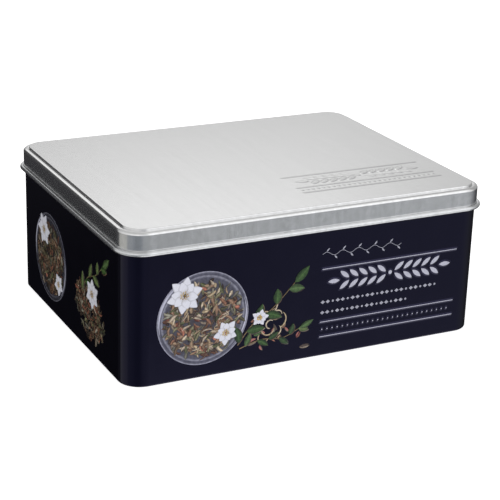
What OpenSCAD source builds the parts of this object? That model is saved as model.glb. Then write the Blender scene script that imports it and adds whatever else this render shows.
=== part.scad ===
// Slip-lid tinplate box with a loose compartment insert, for tea bags in envelopes.
// Frame: X runs along the long front, +Y points to the back, Z = 0 is the surface it stands on.
// The origin is the centre of the base.

/* [Box] */
// Outer width of the box wall, along X
body_w = 200; // [160:1:250]
// Outer depth of the box wall, along Y
body_d = 157; // [125:1:200]
// Height of the box wall, up to the top of its rolled rim
body_h = 79.3; // [64:0.1:100]
// Outer radius of the box's upright corners
corner_r = 11.5; // [9:0.5:20]
// Thickness of the tinplate of wall, base and lid
sheet_t = 0.28; // [0.22:0.01:0.34]
// Diameter of the inward roll along the wall's top edge
rim_d = 2; // [1.6:0.1:2.6]

/* [Base seam] */
// Outer rounding where the wall turns under the box
edge_r = 0.9; // [0.7:0.1:1.4]
// Width of the flat seam ring that the box stands on
seam_w = 3.4; // [3:0.1:4.5]
// Gap between the layers of the folded seam
seam_gap = 0.04; // [0.02:0.01:0.06]
// Height of the step from the seam up to the floor
floor_rise = 1.2; // [0.8:0.1:2]
// Outer radius of that step's two bends
floor_bend_r = 0.5; // [0.36:0.02:0.54]
// Distance from the seam's inner fold to the step
step_inset = 0.8; // [0.5:0.1:2]

/* [Side seam] */
// Width of the lock seam down the back wall
lock_w = 4.5; // [3.5:0.5:6]
// Distance from the lock seam's ends to the base seam and the rolled rim
lock_margin = 1; // [0.5:0.5:4]
// Depth of the fine crease that shows outside
crease_depth = 0.1; // [0.05:0.01:0.14]
// Width of that crease
crease_w = 0.5; // [0.3:0.1:0.8]

/* [Lid] */
// Clearance all round between the lid's skirt and the box wall
lid_gap = 0.5; // [0.35:0.05:0.8]
// Gap between the rolled rim and the lid's ledge at rest
seat_gap = 0.3; // [0.2:0.05:0.5]
// Height from the centre of the lid's curl to the top of its ledge
skirt_h = 10.4; // [8:0.1:16]
// Outer diameter of the outward curl along the skirt's edge
curl_d = 2.3; // [1.8:0.1:3]
// Outer radius between skirt and ledge
shoulder_r = 1.8; // [1.2:0.1:1.8]
// Width of the flat ledge between shoulder and step
ledge_w = 1.1; // [0.6:0.1:2]
// Height of the step from the ledge up to the panel
panel_rise = 1; // [0.8:0.1:1.6]
// Outer radius of the step's two bends
panel_bend_r = 0.4; // [0.36:0.02:0.54]

/* [Relief] */
// Height of the pressed relief on the lid's panel
lid_relief = 0.25; // [0.1:0.05:0.4]
// Height of the pressed relief on the front
front_relief = 0.3; // [0.1:0.05:0.4]
// Distance from the box's centre line to the start of both relief bands
band_start = 5; // [2:1:12]
// Distance from the end of the lid's band to the box's side
lid_band_end = 13; // [10:1:24]
// Distance from the end of the front's band to the box's side
front_band_end = 14.6; // [12:0.1:24]
// Width of the straight rules
rule_w = 0.7; // [0.4:0.1:1.2]
// Distance from the box's front to the lid's lowest rule
lid_rule_y = 22.3; // [16:0.1:30]
// Spacing between the lid's lower two rules
lid_rule_pitch = 7.6; // [6:0.1:10]
// Height of the lid's band of leaves, between its upper two rules
lid_leaf_band = 17.5; // [14:0.1:20]
// Height of the front's lowest rule
front_rule_z = 10.8; // [8:0.1:14]
// Spacing between the front's lower two rules
front_rule_pitch = 8.1; // [6:0.1:10]
// Height of the front's upper rule above the middle one
front_leaf_band = 28.7; // [24:0.1:30]
// Distance from the front's upper rule down to the stem of its leaves
front_leaf_drop = 7.2; // [6.5:0.1:14]
// Length of one pressed leaf
leaf_len = 7.2; // [5:0.1:9]
// Greatest width of one pressed leaf
leaf_w = 2.6; // [1.8:0.1:3.4]
// Distance along the stem from one pair of leaves to the next
leaf_pitch = 5.4; // [4.5:0.1:8]
// Angle between a leaf and its stem
leaf_angle = 38; // [25:1:50]
// Distance from the stem's line to the root of a leaf beside it
leaf_offset = 0.6; // [0.3:0.1:1]
// Diameter of the round bud in the middle of each band of leaves
bud_d = 2.4; // [1.6:0.2:3.2]
// Distance from the middle of the bud to the first leaves
bud_gap = 2.4; // [2:0.2:4]
// Diameter of one dot of the narrow bands
dot_d = 1; // [0.6:0.1:1.6]
// Spacing of those dots
dot_pitch = 3; // [2:0.5:5]

/* [Compartment insert] */
// Thickness of the insert's tinplate
div_t = 0.3; // [0.25:0.01:0.4]
// Height of the strips
div_h = 62; // [45:1:68]
// Number of columns, side by side along X
columns = 3; // [3:1:5]
// Clearance between the strips' ends and the rolled rim
div_gap = 0.5; // [0.4:0.1:1.5]
// Clearance each side of a strip in the slot of another
lap_gap = 0.35; // [0.3:0.05:0.6]
// Gap between the insert and the floor
foot_gap = 0.1; // [0.05:0.05:0.3]
// Depth of the safety hem along the strips' top edges
hem_h = 3; // [2:0.5:5]
// Gap inside the hem
hem_gap = 0.1; // [0.05:0.05:0.2]
// Length of the foot that is folded off each end of a strip
foot_len = 8; // [5:1:12]
// Outer radius of that fold
foot_r = 1.2; // [0.8:0.1:2]
// Distance from the top of a foot to the top of its strip
foot_drop = 6; // [4:1:10]

/* [Hidden] */
$fn = 96;

// Folded seam: four layers of sheet, counted from the surface that the box stands on.
layer = sheet_t + seam_gap;
fold_in = sheet_t / 2 + seam_gap;
fold_out = fold_in + sheet_t;
// Play between the hook of the base and the turn of the wall
hook_gap = 0.05;
seam_lap = edge_r + fold_out + hook_gap;
floor_z = 3 * layer + floor_rise + sheet_t;
step_x = -seam_w - fold_out - step_inset;
floor_x = step_x - 2 * floor_bend_r + sheet_t;

// Both rolls are left open over these angles, counted from +x of the section.
rim_open = [290, 360];
curl_open = [130, 180];
// Width over which the flat plates lie in the sections that frame them
plate_lap = 1;

rim_r = rim_d / 2;
rim_z = body_h - rim_r;
lock_t = 3 * sheet_t;

curl_r = curl_d / 2;
ledge_z = body_h + seat_gap + sheet_t;
lid_curl_z = ledge_z - skirt_h;
skirt_x = lid_gap + sheet_t;
ledge_x = skirt_x - shoulder_r;
panel_x = ledge_x - ledge_w - 2 * panel_bend_r + sheet_t;
panel_z = ledge_z + panel_rise;

// Insert
hem_t = 2 * div_t + hem_gap;
hem_r = div_t + hem_gap / 2;
end_x = rim_d + div_gap;
div_z = floor_z + foot_gap;
column_w = body_w / columns;

// ---------------------------------------------------------------- shared shapes

// Sweeps a 2D section round a box of the size w by d. In the section, x = 0 is the box's
// outer face, +x points outwards and y is the height.
module around(w, d) {
    for (side = [0:3]) {
        half = (side % 2 == 0 ? w : d) / 2;
        run = (side % 2 == 0 ? d : w) - 2 * corner_r;
        rotate(90 * side) translate([half - corner_r, run / 2, 0]) {
            rotate([90, 0, 0]) linear_extrude(run) translate([corner_r, 0]) children();
            rotate_extrude(angle = 90) translate([corner_r, 0]) children();
        }
    }
}

// Quarter ring of sheet metal about the origin: x and y pick the quadrant by their signs.
module bend(r_out, t, x, y) {
    intersection() {
        difference() {
            circle(r_out);
            circle(r_out - t);
        }
        translate([x > 0 ? 0 : -2 * r_out, y > 0 ? 0 : -2 * r_out]) square(2 * r_out);
    }
}

// Half ring that folds a sheet back on itself: side is +1 to the right, -1 to the left.
module fold(r_out, t, side) {
    bend(r_out, t, side, 1);
    bend(r_out, t, side, -1);
}

// A strip of sheet from x0 to x1, with its lower face at the height y.
module flat(x0, x1, y, t) {
    translate([min(x0, x1), y]) square([abs(x1 - x0), t]);
}

// A step in the sheet, with two bends of outer radius r and an upright riser between them.
// The lower face is at y on the right of it and at y + rise on the left.
module step(x, y, rise, r, t) {
    translate([x, y + r]) bend(r, t, -1, -1);
    translate([x - r, y + r]) square([t, rise + t - 2 * r]);
    translate([x - 2 * r + t, y + rise + t - r]) bend(r, t, 1, 1);
}

// Rounded rectangle inset from the box's outline, for the flat middle of base and lid.
module inset_plate(inset, t) {
    r = corner_r - inset;
    w = body_w - 2 * inset;
    d = body_d - 2 * inset;
    linear_extrude(t) union() {
        square([w - 2 * r, d], center = true);
        square([w, d - 2 * r], center = true);
        for (x = [-1, 1], y = [-1, 1]) translate([x * (w / 2 - r), y * (d / 2 - r)]) circle(r);
    }
}

// Rolled edge about the origin, left open between the two angles of gap.
module roll(r, t, gap) {
    far = 3 * r;
    mid = (gap[0] + gap[1]) / 2;
    difference() {
        circle(r);
        circle(r - t);
        polygon(far * [[0, 0], for (a = [gap[0], mid, gap[1]]) [cos(a), sin(a)]]);
    }
}

// ---------------------------------------------------------------- relief

// Straight rule from the origin along x, with round ends.
module rule(len) {
    translate([rule_w / 2, 0]) circle(rule_w / 2);
    translate([len - rule_w / 2, 0]) circle(rule_w / 2);
    translate([rule_w / 2, -rule_w / 2]) square([len - rule_w, rule_w]);
}

// Pointed leaf from the origin along x, bounded by two arcs.
module leaf(len, w) {
    r = (len * len + w * w) / (4 * w);
    translate([len / 2, 0]) intersection() {
        translate([0, r - w / 2]) circle(r);
        translate([0, w / 2 - r]) circle(r);
    }
}

// Sprig from the origin along x: separate leaves in pairs beside a bare line, and one at the tip.
module sprig(len) {
    pairs = floor((len - leaf_len) / leaf_pitch);
    for (i = [0:pairs - 1], side = [-1, 1])
        translate([i * leaf_pitch, side * leaf_offset]) rotate(side * leaf_angle) leaf(leaf_len, leaf_w);
    translate([pairs * leaf_pitch, 0]) leaf(leaf_len, leaf_w);
}

// Two sprigs that grow away from a round bud in the middle of a band.
module garland(len) {
    translate([len / 2, 0]) {
        circle(bud_d / 2);
        for (a = [0, 180]) rotate(a) translate([bud_gap, 0]) sprig(len / 2 - bud_gap);
    }
}

// Row of dots from the origin along x
module dots(len) {
    for (i = [1:floor(len / dot_pitch)]) translate([(i - 0.5) * dot_pitch, 0]) circle(dot_d / 2);
}

// ---------------------------------------------------------------- box

// Section of the wall: roll at the top, upright web, turn under the box and hook of the seam.
module wall_section() {
    translate([-sheet_t, edge_r]) square([sheet_t, rim_z - edge_r]);
    translate([-rim_r, rim_z]) roll(rim_r, sheet_t, rim_open);
    translate([-edge_r, edge_r]) bend(edge_r, sheet_t, 1, -1);
    flat(-edge_r, -seam_w, 0, sheet_t);
    translate([-seam_w, fold_out]) fold(fold_out, sheet_t, -1);
    flat(-seam_w, -seam_lap, 2 * layer, sheet_t);
}

// Section of the base's edge: hook of the seam, flat over the seam and the step up to the floor.
module base_section() {
    flat(-seam_w, -seam_lap, layer, sheet_t);
    translate([-seam_lap, layer + fold_out]) fold(fold_out, sheet_t, 1);
    flat(-seam_lap, step_x, 3 * layer, sheet_t);
    step(step_x, 3 * layer, floor_rise, floor_bend_r, sheet_t);
    flat(floor_x, floor_x - plate_lap, floor_z - sheet_t, sheet_t);
}

// Lock seam inside the back wall, where the ends of the strip meet.
module lock_seam() {
    low = 4 * layer + lock_margin;
    high = rim_z - rim_r - lock_margin;
    translate([-lock_w / 2, body_d / 2 - sheet_t - lock_t, low])
        cube([lock_w, lock_t + sheet_t / 2, high - low]);
}

// Crease outside the lock seam
module lock_crease() {
    translate([lock_w / 2 - crease_w, body_d / 2 - crease_depth, edge_r])
        cube([crease_w, 1, lid_curl_z - edge_r]);
}

// Relief on the front: three rules, a garland high in the wide band and dots in the narrow one.
module front_band() {
    len = body_w / 2 - front_band_end - band_start;
    mid_z = front_rule_z + front_rule_pitch;
    top_z = mid_z + front_leaf_band;
    translate([band_start, -body_d / 2 + sheet_t / 2, 0]) rotate([90, 0, 0])
        linear_extrude(front_relief + sheet_t / 2) {
            for (z = [front_rule_z, mid_z, top_z]) translate([0, z]) rule(len);
            translate([0, top_z - front_leaf_drop]) garland(len);
            translate([0, front_rule_z + front_rule_pitch / 2]) dots(len);
        }
}

module body_wall() {
    color("#17171f") difference() {
        union() {
            around(body_w, body_d) wall_section();
            lock_seam();
            front_band();
        }
        lock_crease();
    }
}

module bottom_panel() {
    color("#b9bcc0") {
        around(body_w, body_d) base_section();
        translate([0, 0, floor_z - sheet_t]) inset_plate(-floor_x, sheet_t);
    }
}

// ---------------------------------------------------------------- lid

// Section of the lid's edge: outward curl, skirt, shoulder, ledge and step up to the panel.
module lid_section() {
    translate([lid_gap + curl_r, lid_curl_z]) roll(curl_r, sheet_t, curl_open);
    translate([lid_gap, lid_curl_z]) square([sheet_t, skirt_h - shoulder_r]);
    translate([ledge_x, ledge_z - shoulder_r]) bend(shoulder_r, sheet_t, 1, 1);
    flat(ledge_x, ledge_x - ledge_w, ledge_z - sheet_t, sheet_t);
    step(ledge_x - ledge_w, ledge_z - sheet_t, panel_rise, panel_bend_r, sheet_t);
    flat(panel_x, panel_x - plate_lap, panel_z - sheet_t, sheet_t);
}

// Relief on the lid, in the same layout as on the front.
module lid_band() {
    len = body_w / 2 - lid_band_end - band_start;
    low_y = lid_rule_y - body_d / 2;
    mid_y = low_y + lid_rule_pitch;
    top_y = mid_y + lid_leaf_band;
    translate([band_start, 0, panel_z - sheet_t / 2]) linear_extrude(lid_relief + sheet_t / 2) {
        for (y = [low_y, mid_y, top_y]) translate([0, y]) rule(len);
        translate([0, (mid_y + top_y) / 2]) garland(len);
        translate([0, low_y + lid_rule_pitch / 2]) dots(len);
    }
}

module lid() {
    color("#c9cbce") {
        around(body_w, body_d) lid_section();
        translate([0, 0, panel_z - sheet_t]) inset_plate(-panel_x, sheet_t);
        lid_band();
    }
}

// ---------------------------------------------------------------- compartment insert

// One strip along x, centred, standing on y = 0. The hem and the feet lie on its +y side.
module strip(len) {
    half = len / 2;
    foot_h = div_h - foot_drop;
    translate([foot_r - half, -div_t / 2, 0]) cube([len - 2 * foot_r, div_t, div_h - hem_r]);
    translate([foot_r - half, 0, div_h - hem_r]) rotate([90, 0, 90])
        linear_extrude(len - 2 * foot_r) translate([hem_r - div_t / 2, 0]) {
            bend(hem_r, div_t, 1, 1);
            bend(hem_r, div_t, -1, 1);
            translate([hem_gap / 2, -hem_h]) square([div_t, hem_h]);
        }
    for (end = [0, 1]) mirror([end, 0, 0]) linear_extrude(foot_h) {
        translate([half - foot_r, foot_r - div_t / 2]) bend(foot_r, div_t, 1, -1);
        translate([half - div_t, foot_r - div_t / 2]) square([div_t, foot_len - foot_r]);
    }
}

// The long strip runs along X and is slotted from the top for each cross strip.
module long_divider() {
    slot_w = hem_t + 2 * lap_gap;
    color("#c2c5c8") translate([0, 0, div_z]) difference() {
        strip(body_w - 2 * end_x);
        for (i = [1:columns - 1]) {
            side = cross_side(i);
            translate([cross_x(i) + side * (hem_t - div_t) / 2, 0, div_h])
                cube([slot_w, 4 * hem_t, div_h + 2 * lap_gap], center = true);
        }
    }
}

// Place of cross strip i, and the side that its hem and feet point to.
function cross_x(i) = i * column_w - body_w / 2;
function cross_side(i) = cross_x(i) < 0 ? -1 : 1;

// A cross strip runs along Y and is slotted from the bottom for the long strip.
module cross_divider(i) {
    slot_w = div_t + 2 * lap_gap;
    translate([cross_x(i), 0, div_z]) rotate(-90 * cross_side(i)) difference() {
        strip(body_d - 2 * end_x);
        cube([slot_w, 4 * hem_t, div_h + 2 * lap_gap], center = true);
    }
}

module cross_divider_left() {
    color("#b4b8bc") for (i = [1:floor(columns / 2)]) cross_divider(i);
}

module cross_divider_right() {
    color("#b4b8bc") for (i = [floor(columns / 2) + 1:columns - 1]) cross_divider(i);
}

body_wall();
bottom_panel();
lid();
long_divider();
cross_divider_left();
cross_divider_right();
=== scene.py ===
"""Looks of a slip-lid tinplate box with a compartment insert.

Sizes are in millimetres until a mesh is made, and repeat those of part.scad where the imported
frame doesn't give them. X runs along the long front, +Y points to the back, and Z = 0 is the
standing surface.
"""

import random
from math import atan2, ceil, cos, degrees, hypot, pi, radians, sin, sqrt, tan

import bmesh
import bpy
import numpy as np
from mathutils import Matrix, Vector


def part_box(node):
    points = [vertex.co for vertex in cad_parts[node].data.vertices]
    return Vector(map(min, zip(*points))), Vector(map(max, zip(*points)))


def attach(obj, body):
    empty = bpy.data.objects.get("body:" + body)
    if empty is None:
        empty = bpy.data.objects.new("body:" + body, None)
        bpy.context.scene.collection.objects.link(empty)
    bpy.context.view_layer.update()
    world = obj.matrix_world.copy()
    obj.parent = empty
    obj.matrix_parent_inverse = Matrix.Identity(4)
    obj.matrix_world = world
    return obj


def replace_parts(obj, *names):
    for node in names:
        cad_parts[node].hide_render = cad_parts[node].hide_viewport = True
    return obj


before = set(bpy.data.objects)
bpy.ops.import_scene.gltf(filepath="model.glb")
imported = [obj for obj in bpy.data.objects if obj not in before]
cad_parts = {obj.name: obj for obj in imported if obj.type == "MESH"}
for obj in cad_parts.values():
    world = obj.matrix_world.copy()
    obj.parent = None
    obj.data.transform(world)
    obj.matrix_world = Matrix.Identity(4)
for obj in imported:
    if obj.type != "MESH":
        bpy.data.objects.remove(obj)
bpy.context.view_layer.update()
MM = 0.001


def metres(x, y, z):
    return Vector((x, y, z)) * MM


# ------------ sizes

# The front carries relief, so the wall's depth is twice the way to its plain back.
wall_low, wall_high = (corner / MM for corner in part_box("body_wall"))
BODY_W = wall_high.x - wall_low.x
BODY_D = 2 * wall_high.y
BODY_H = wall_high.z
CORNER_R = 11.5
SHEET_T = 0.28
HALF_T = SHEET_T / 2
RIM_R = 1.0
RIM_Z = BODY_H - RIM_R
# Where the cut edges of the rolled rim and of the lid's curl lie, in degrees
RIM_OPENING = 290
CURL_OPENING = 130

EDGE_R = 0.9
SEAM_W = 3.4
SEAM_GAP = 0.04
LAYER = SHEET_T + SEAM_GAP
FOLD_R = LAYER
FOLD_OUT = FOLD_R + HALF_T
HOOK_GAP = 0.05
SEAM_LAP = EDGE_R + FOLD_OUT + HOOK_GAP
FLOOR_RISE = 1.2
FLOOR_BEND_R = 0.5
STEP_INSET = 0.8
STEP_X = -SEAM_W - FOLD_OUT - STEP_INSET

LID_GAP = 0.5
SEAT_GAP = 0.3
CURL_R = 1.148
SKIRT_H = 10.4
# The shoulder turns with SHOULDER_R as far as SHOULDER_TURN, then with CROWN_R into the ledge,
# which falls inwards by LEDGE_FALL.
SHOULDER_R = 1.2
CROWN_R = 2.9
SHOULDER_TURN = radians(60)
LEDGE_FALL = radians(8)
PANEL_INSET = 2.9
PANEL_RISE = 1.0
LEDGE_BEND_R = 0.36
PANEL_BEND_R = 0.5
LEDGE_Z = BODY_H + SEAT_GAP + SHEET_T
LID_CURL_Z = LEDGE_Z - SKIRT_H
SKIRT_X = LID_GAP + SHEET_T
CROWN_X = SKIRT_X - SHOULDER_R - (CROWN_R - SHOULDER_R) * cos(SHOULDER_TURN)
SHOULDER_Z = LEDGE_Z - CROWN_R + (CROWN_R - SHOULDER_R) * sin(SHOULDER_TURN)
PANEL_Z = LEDGE_Z + PANEL_RISE

# The lock seam inside the back wall: its clearance at both ends, and the crease that it leaves
LOCK_W = 4.5
LOCK_T = 3 * SHEET_T
LOCK_R = 0.3
LOCK_CLEAR = 1
LOCK_EASE = 0.4
CREASE_DEPTH = 0.1
CREASE_W = 0.5
CREASE_REACH = 1.5
CREASE_CELLS = 6
CREASE_TAPER = 2.6
CREASE_FOOT = 0.5
CREASE_END = 1

# How finely bends are cut, in degrees, and round corners, in pieces
BEND_STEP = 9
CROWN_STEP = 5
FOLD_STEP = 15
CORNER_STEPS = 20
# A flat stretch gets one more point this near each end, which keeps its shading flat.
RUN_EASE = 0.12
CORNER_EASE = 0.4
PLATE_LAP = 1.0
SAME_POINT = 1e-4
SHARP_ANGLE = radians(35)
# A face looks a given way if the cosine between the two is over this.
FACING = 0.999

# Relief bands: rules, leaves and dots
BAND_START = 5
RULE_W = 0.7
DOT_R = 0.5
DOT_PITCH = 3
BUD_R = 1.2
BUD_GAP = 2.4
LEAF_LEN = 7.2
LEAF_W = 2.6
LEAF_PITCH = 5.4
LEAF_ANGLE = radians(38)
LEAF_OFFSET = 0.6
VEIN_DEPTH = 0.45
VEIN_W = 0.28
VEIN_FADE = 3
# A band's lowest rule lies at "low", its middle rule "pitch" over that and its top rule "wide"
# over the middle one. The leaves' stem lies "drop" under the top rule.
FRONT_BAND_END = 14.6
FRONT_BAND = {"length": BODY_W / 2 - FRONT_BAND_END - BAND_START,
              "low": 10.8, "pitch": 8.1, "wide": 28.7, "drop": 7.2}
LID_BAND_END = 13
LID_BAND = {"length": BODY_W / 2 - LID_BAND_END - BAND_START,
            "low": 22.3 - BODY_D / 2, "pitch": 7.6, "wide": 17.5, "drop": 8.75}
FRONT_RELIEF = 0.3
LID_RELIEF = 0.25
RELIEF_FLANK = 0.5
RELIEF_STEP = 0.3
RELIEF_MARGIN = 1.5

# ------------ camera

# The camera looks at the middle of the box from its front left, turned a little about its axis.
VIEW_AZIMUTH = radians(-26.9903)
VIEW_ELEVATION = radians(20.5443)
VIEW_ROLL = radians(1.8585)
VIEW_TARGET = Vector((0, 0, 45))
VIEW_DISTANCE = 826.4517
VIEW_OFFSET = (3.4099, -12.8847)
LENS = 109.7429


def add_object(name, data):
    made = bpy.data.objects.new(name, data)
    bpy.context.scene.collection.objects.link(made)
    return made


def make_camera():
    back = Vector((sin(VIEW_AZIMUTH) * cos(VIEW_ELEVATION),
                   -cos(VIEW_AZIMUTH) * cos(VIEW_ELEVATION),
                   sin(VIEW_ELEVATION)))
    level = Vector((0, 0, 1)).cross(back).normalized()
    upright = back.cross(level)
    right = level * cos(VIEW_ROLL) + upright * sin(VIEW_ROLL)
    up = upright * cos(VIEW_ROLL) - level * sin(VIEW_ROLL)
    place = VIEW_TARGET + back * VIEW_DISTANCE + right * VIEW_OFFSET[0] + up * VIEW_OFFSET[1]
    data = bpy.data.cameras.new("camera")
    data.lens = LENS
    data.sensor_width = 36
    data.clip_start = 0.01
    data.clip_end = 50
    turn = Matrix((right, up, back)).transposed()
    camera = add_object("camera", data)
    camera.matrix_world = Matrix.Translation(place * MM) @ turn.to_4x4()
    bpy.context.scene.camera = camera


make_camera()

# ------------ node helpers


class Tree:
    """Builds a node tree in few words. Inputs may be numbers, colours or other nodes' sockets."""

    def __init__(self, tree):
        self.tree = tree
        tree.nodes.clear()

    def put(self, socket, value):
        if isinstance(value, bpy.types.NodeSocket):
            self.tree.links.new(value, socket)
        else:
            socket.default_value = value

    def add(self, kind, inputs=None, **settings):
        made = self.tree.nodes.new("ShaderNode" + kind)
        for name, value in settings.items():
            setattr(made, name, value)
        for name, value in (inputs or {}).items():
            self.put(made.inputs[name], value)
        return made

    def math(self, operation, *values):
        return self.add("Math", dict(enumerate(values)), operation=operation).outputs[0]

    def smooth(self, value, low, high, out_low=0.0, out_high=1.0):
        inputs = {"Value": value, "From Min": low, "From Max": high,
                  "To Min": out_low, "To Max": out_high}
        return self.add("MapRange", inputs, interpolation_type="SMOOTHSTEP").outputs[0]

    def ramp(self, value, stops, interpolation="LINEAR"):
        made = self.add("ValToRGB", {"Fac": value})
        ramp = made.color_ramp
        ramp.interpolation = interpolation
        while len(ramp.elements) < len(stops):
            ramp.elements.new(0.5)
        for element, (position, colour) in zip(ramp.elements, stops):
            element.position = position
            element.color = (*colour, 1)
        return made.outputs[0]

    def mix(self, factor, a, b):
        """Mixes two colours. The node's sockets share their names, so they go by number."""
        made = self.add("Mix", data_type="RGBA")
        self.put(made.inputs[0], factor)
        for socket, value in zip(made.inputs[6:8], (a, b)):
            self.put(socket, (*value, 1) if isinstance(value, tuple) else value)
        return made.outputs[2]

    def split(self, vector):
        return self.add("SeparateXYZ", {"Vector": vector}).outputs

    def scale(self, colour, factor):
        inputs = {0: colour, "Scale": factor}
        return self.add("VectorMath", inputs, operation="SCALE").outputs[0]

    def noise(self, scale, detail, stretch=(1, 1, 1), roughness=0.5):
        """Noise in the object's own frame: scale is in cells for each millimetre."""
        place = self.add("TexCoord").outputs["Object"]
        cells = [s * scale / MM for s in stretch]
        spread = self.add("Mapping", {"Vector": place, "Scale": cells}).outputs[0]
        inputs = {"Vector": spread, "Scale": 1.0, "Detail": detail, "Roughness": roughness}
        return self.add("TexNoise", inputs).outputs["Fac"]

    def bump(self, height, distance):
        return self.add("Bump", {"Height": height, "Distance": distance * MM}).outputs[0]

    def off_middle(self, value, middle=0.5):
        return self.math("ABSOLUTE", self.math("SUBTRACT", value, middle))


class Surface(Tree):
    """A new material round a Principled shader, whose inputs go by name with _ for a space."""

    def __init__(self, name, **inputs):
        self.material = bpy.data.materials.new(name)
        self.material.use_nodes = True
        super().__init__(self.material.node_tree)
        self.shader = self.add("BsdfPrincipled")
        self.feed(**inputs)
        self.add("OutputMaterial", {"Surface": self.shader.outputs[0]})

    def feed(self, **inputs):
        for key, value in inputs.items():
            self.put(self.shader.inputs[key.replace("_", " ")], value)
        return self.material


# ------------ materials


def grey(level):
    return level, level, level


def dimmed(tones, share):
    return [tuple(c * share for c in tone) for tone in tones]


LACQUER_GLOSS = {"Specular_IOR_Level": 0.48, "Specular_Tint": (0.52, 0.5, 1.0, 1)}
NAVY_TONES = [(0.0009, 0.0007, 0.003), (0.0014, 0.0011, 0.0045)]
PALE_TONES = [(0.5, 0.5, 0.58), (0.66, 0.66, 0.74)]
TRIM_TONES = [(0.36, 0.36, 0.43), (0.52, 0.52, 0.6)]
LID_TONE = grey(0.8)
BARE_TONE = (0.7, 0.71, 0.72)
# How much darker the tinplate's streaks are on upright faces, and their share of that on flat ones
STREAK = 0.1
FLAT_STREAK = 0.3
# print_cover is COVER_REACH at the outline of a raised shape, more inside it and less outside. The
# shape counts as printed where it is over COVER_EDGE.
COVER_EDGE = 0.75
COVER_SOFT = 0.05
COVER_REACH = 0.6
PRINT_ROUGHNESS = 0.15
# The dish's tones from its middle to its rim
DISH_STOPS = [(0.0, (0.085, 0.078, 0.085)), (0.7, (0.095, 0.092, 0.105)),
              (0.86, (0.11, 0.11, 0.14)), (0.9, (0.3, 0.3, 0.36)),
              (0.93, (0.09, 0.09, 0.12)), (0.975, (0.16, 0.16, 0.2)),
              (0.985, (0.42, 0.42, 0.5)), (1.0, (0.3, 0.3, 0.38))]


def make_tinplate(name, tone, roughness, haze):
    """Tinplate rolled along Y: fine streaks run along Y on flat faces and upright on the front."""
    tin = Surface(name, Metallic=0.95)
    grain = tin.noise(1.6, 3, stretch=(1, 0.03, 0.03), roughness=0.6)
    bands = tin.noise(0.42, 3, stretch=(1, 0.04, 0.1), roughness=0.55)
    cloud = tin.noise(0.045, 3, stretch=(1, 0.6, 1))
    mottle = tin.noise(0.35, 3)
    level = tin.math("ABSOLUTE", tin.split(tin.add("NewGeometry").outputs["Normal"])[2])
    depth = tin.smooth(level, 0.5, 0.9, STREAK, STREAK * FLAT_STREAK)
    blotches = tin.math("SUBTRACT", tin.math("ADD", bands, mottle), 1.0)
    worn = tin.math("MULTIPLY_ADD", blotches, 2.2, 0.5)
    fade = tin.math("MULTIPLY", tin.math("MULTIPLY_ADD", grain, 0.4, worn), depth)
    colour = tin.scale(tone, tin.math("SUBTRACT", 1.0, fade))
    hazy = tin.math("MULTIPLY_ADD", tin.math("SUBTRACT", cloud, 0.5), haze, roughness)
    rough = tin.math("MULTIPLY_ADD", tin.math("SUBTRACT", grain, 0.5), 0.05, hazy)
    relief = tin.math("ADD", grain, tin.math("MULTIPLY", bands, 2.0))
    return tin.feed(Base_Color=colour, Roughness=rough, Normal=tin.bump(relief, 0.0018))


def make_lacquer():
    """Glossy blue-black lacquer. Raised print is pale where print_cover says so."""
    coat = Surface("navy_lacquer", **LACQUER_GLOSS)
    navy = coat.mix(coat.noise(0.03, 2), *NAVY_TONES)
    pale = coat.mix(coat.noise(0.6, 3), *PALE_TONES)
    cover = coat.add("Attribute", attribute_name="print_cover").outputs["Fac"]
    printed = coat.smooth(cover, COVER_EDGE - COVER_SOFT, COVER_EDGE + COVER_SOFT)
    rough = coat.smooth(coat.noise(0.09, 4), 0.2, 0.8, 0.11, 0.17)
    rough = coat.math("MULTIPLY_ADD", printed, 0.12, rough)
    orange_peel = coat.bump(coat.noise(0.5, 2), 0.004)
    return coat.feed(Base_Color=coat.mix(printed, navy, pale), Roughness=rough, Normal=orange_peel)


def make_pale_print():
    paint = Surface("pale_print", Specular_IOR_Level=0.4)
    cloud = paint.noise(0.35, 3)
    return paint.feed(Base_Color=paint.mix(cloud, *TRIM_TONES),
                      Roughness=paint.smooth(cloud, 0.3, 0.7, 0.25, 0.35))


def flat_print(name):
    """A surface for flat print, and its sockets of U and V."""
    ink = Surface(name + "_print", Roughness=PRINT_ROUGHNESS, **LACQUER_GLOSS)
    along, across, _ = ink.split(ink.add("TexCoord").outputs["UV"])
    return ink, along, across


def make_flake_print(name, palette, dark=0.45, light=1.35, veins=False):
    """Printed leaf or flake: each piece has one colour of the palette, light at a fold near its
    middle and dark at its edges."""
    ink, along, across = flat_print(name)
    island = ink.add("NewGeometry").outputs["Random Per Island"]
    stops = [(i / len(palette), colour) for i, colour in enumerate(palette)]
    colour = ink.ramp(island, stops, "CONSTANT")
    folded = ink.smooth(ink.off_middle(across, 0.42), 0.0, 0.55, light, dark)
    shade = ink.math("MULTIPLY", folded, ink.smooth(ink.noise(0.9, 3), 0.3, 0.7, 0.72, 1.2))
    if veins:
        half = ink.off_middle(across)
        rib = ink.smooth(half, 0.02, 0.07, 0.5, 0.0)
        slant = ink.math("MULTIPLY_ADD", half, -0.28, along)
        side_veins = ink.smooth(ink.math("PINGPONG", slant, 0.05), 0.0, 0.013, 0.22, 0.0)
        shade = ink.math("ADD", shade, ink.math("MAXIMUM", rib, side_veins))
    return ink.feed(Base_Color=ink.scale(colour, shade))


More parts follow.
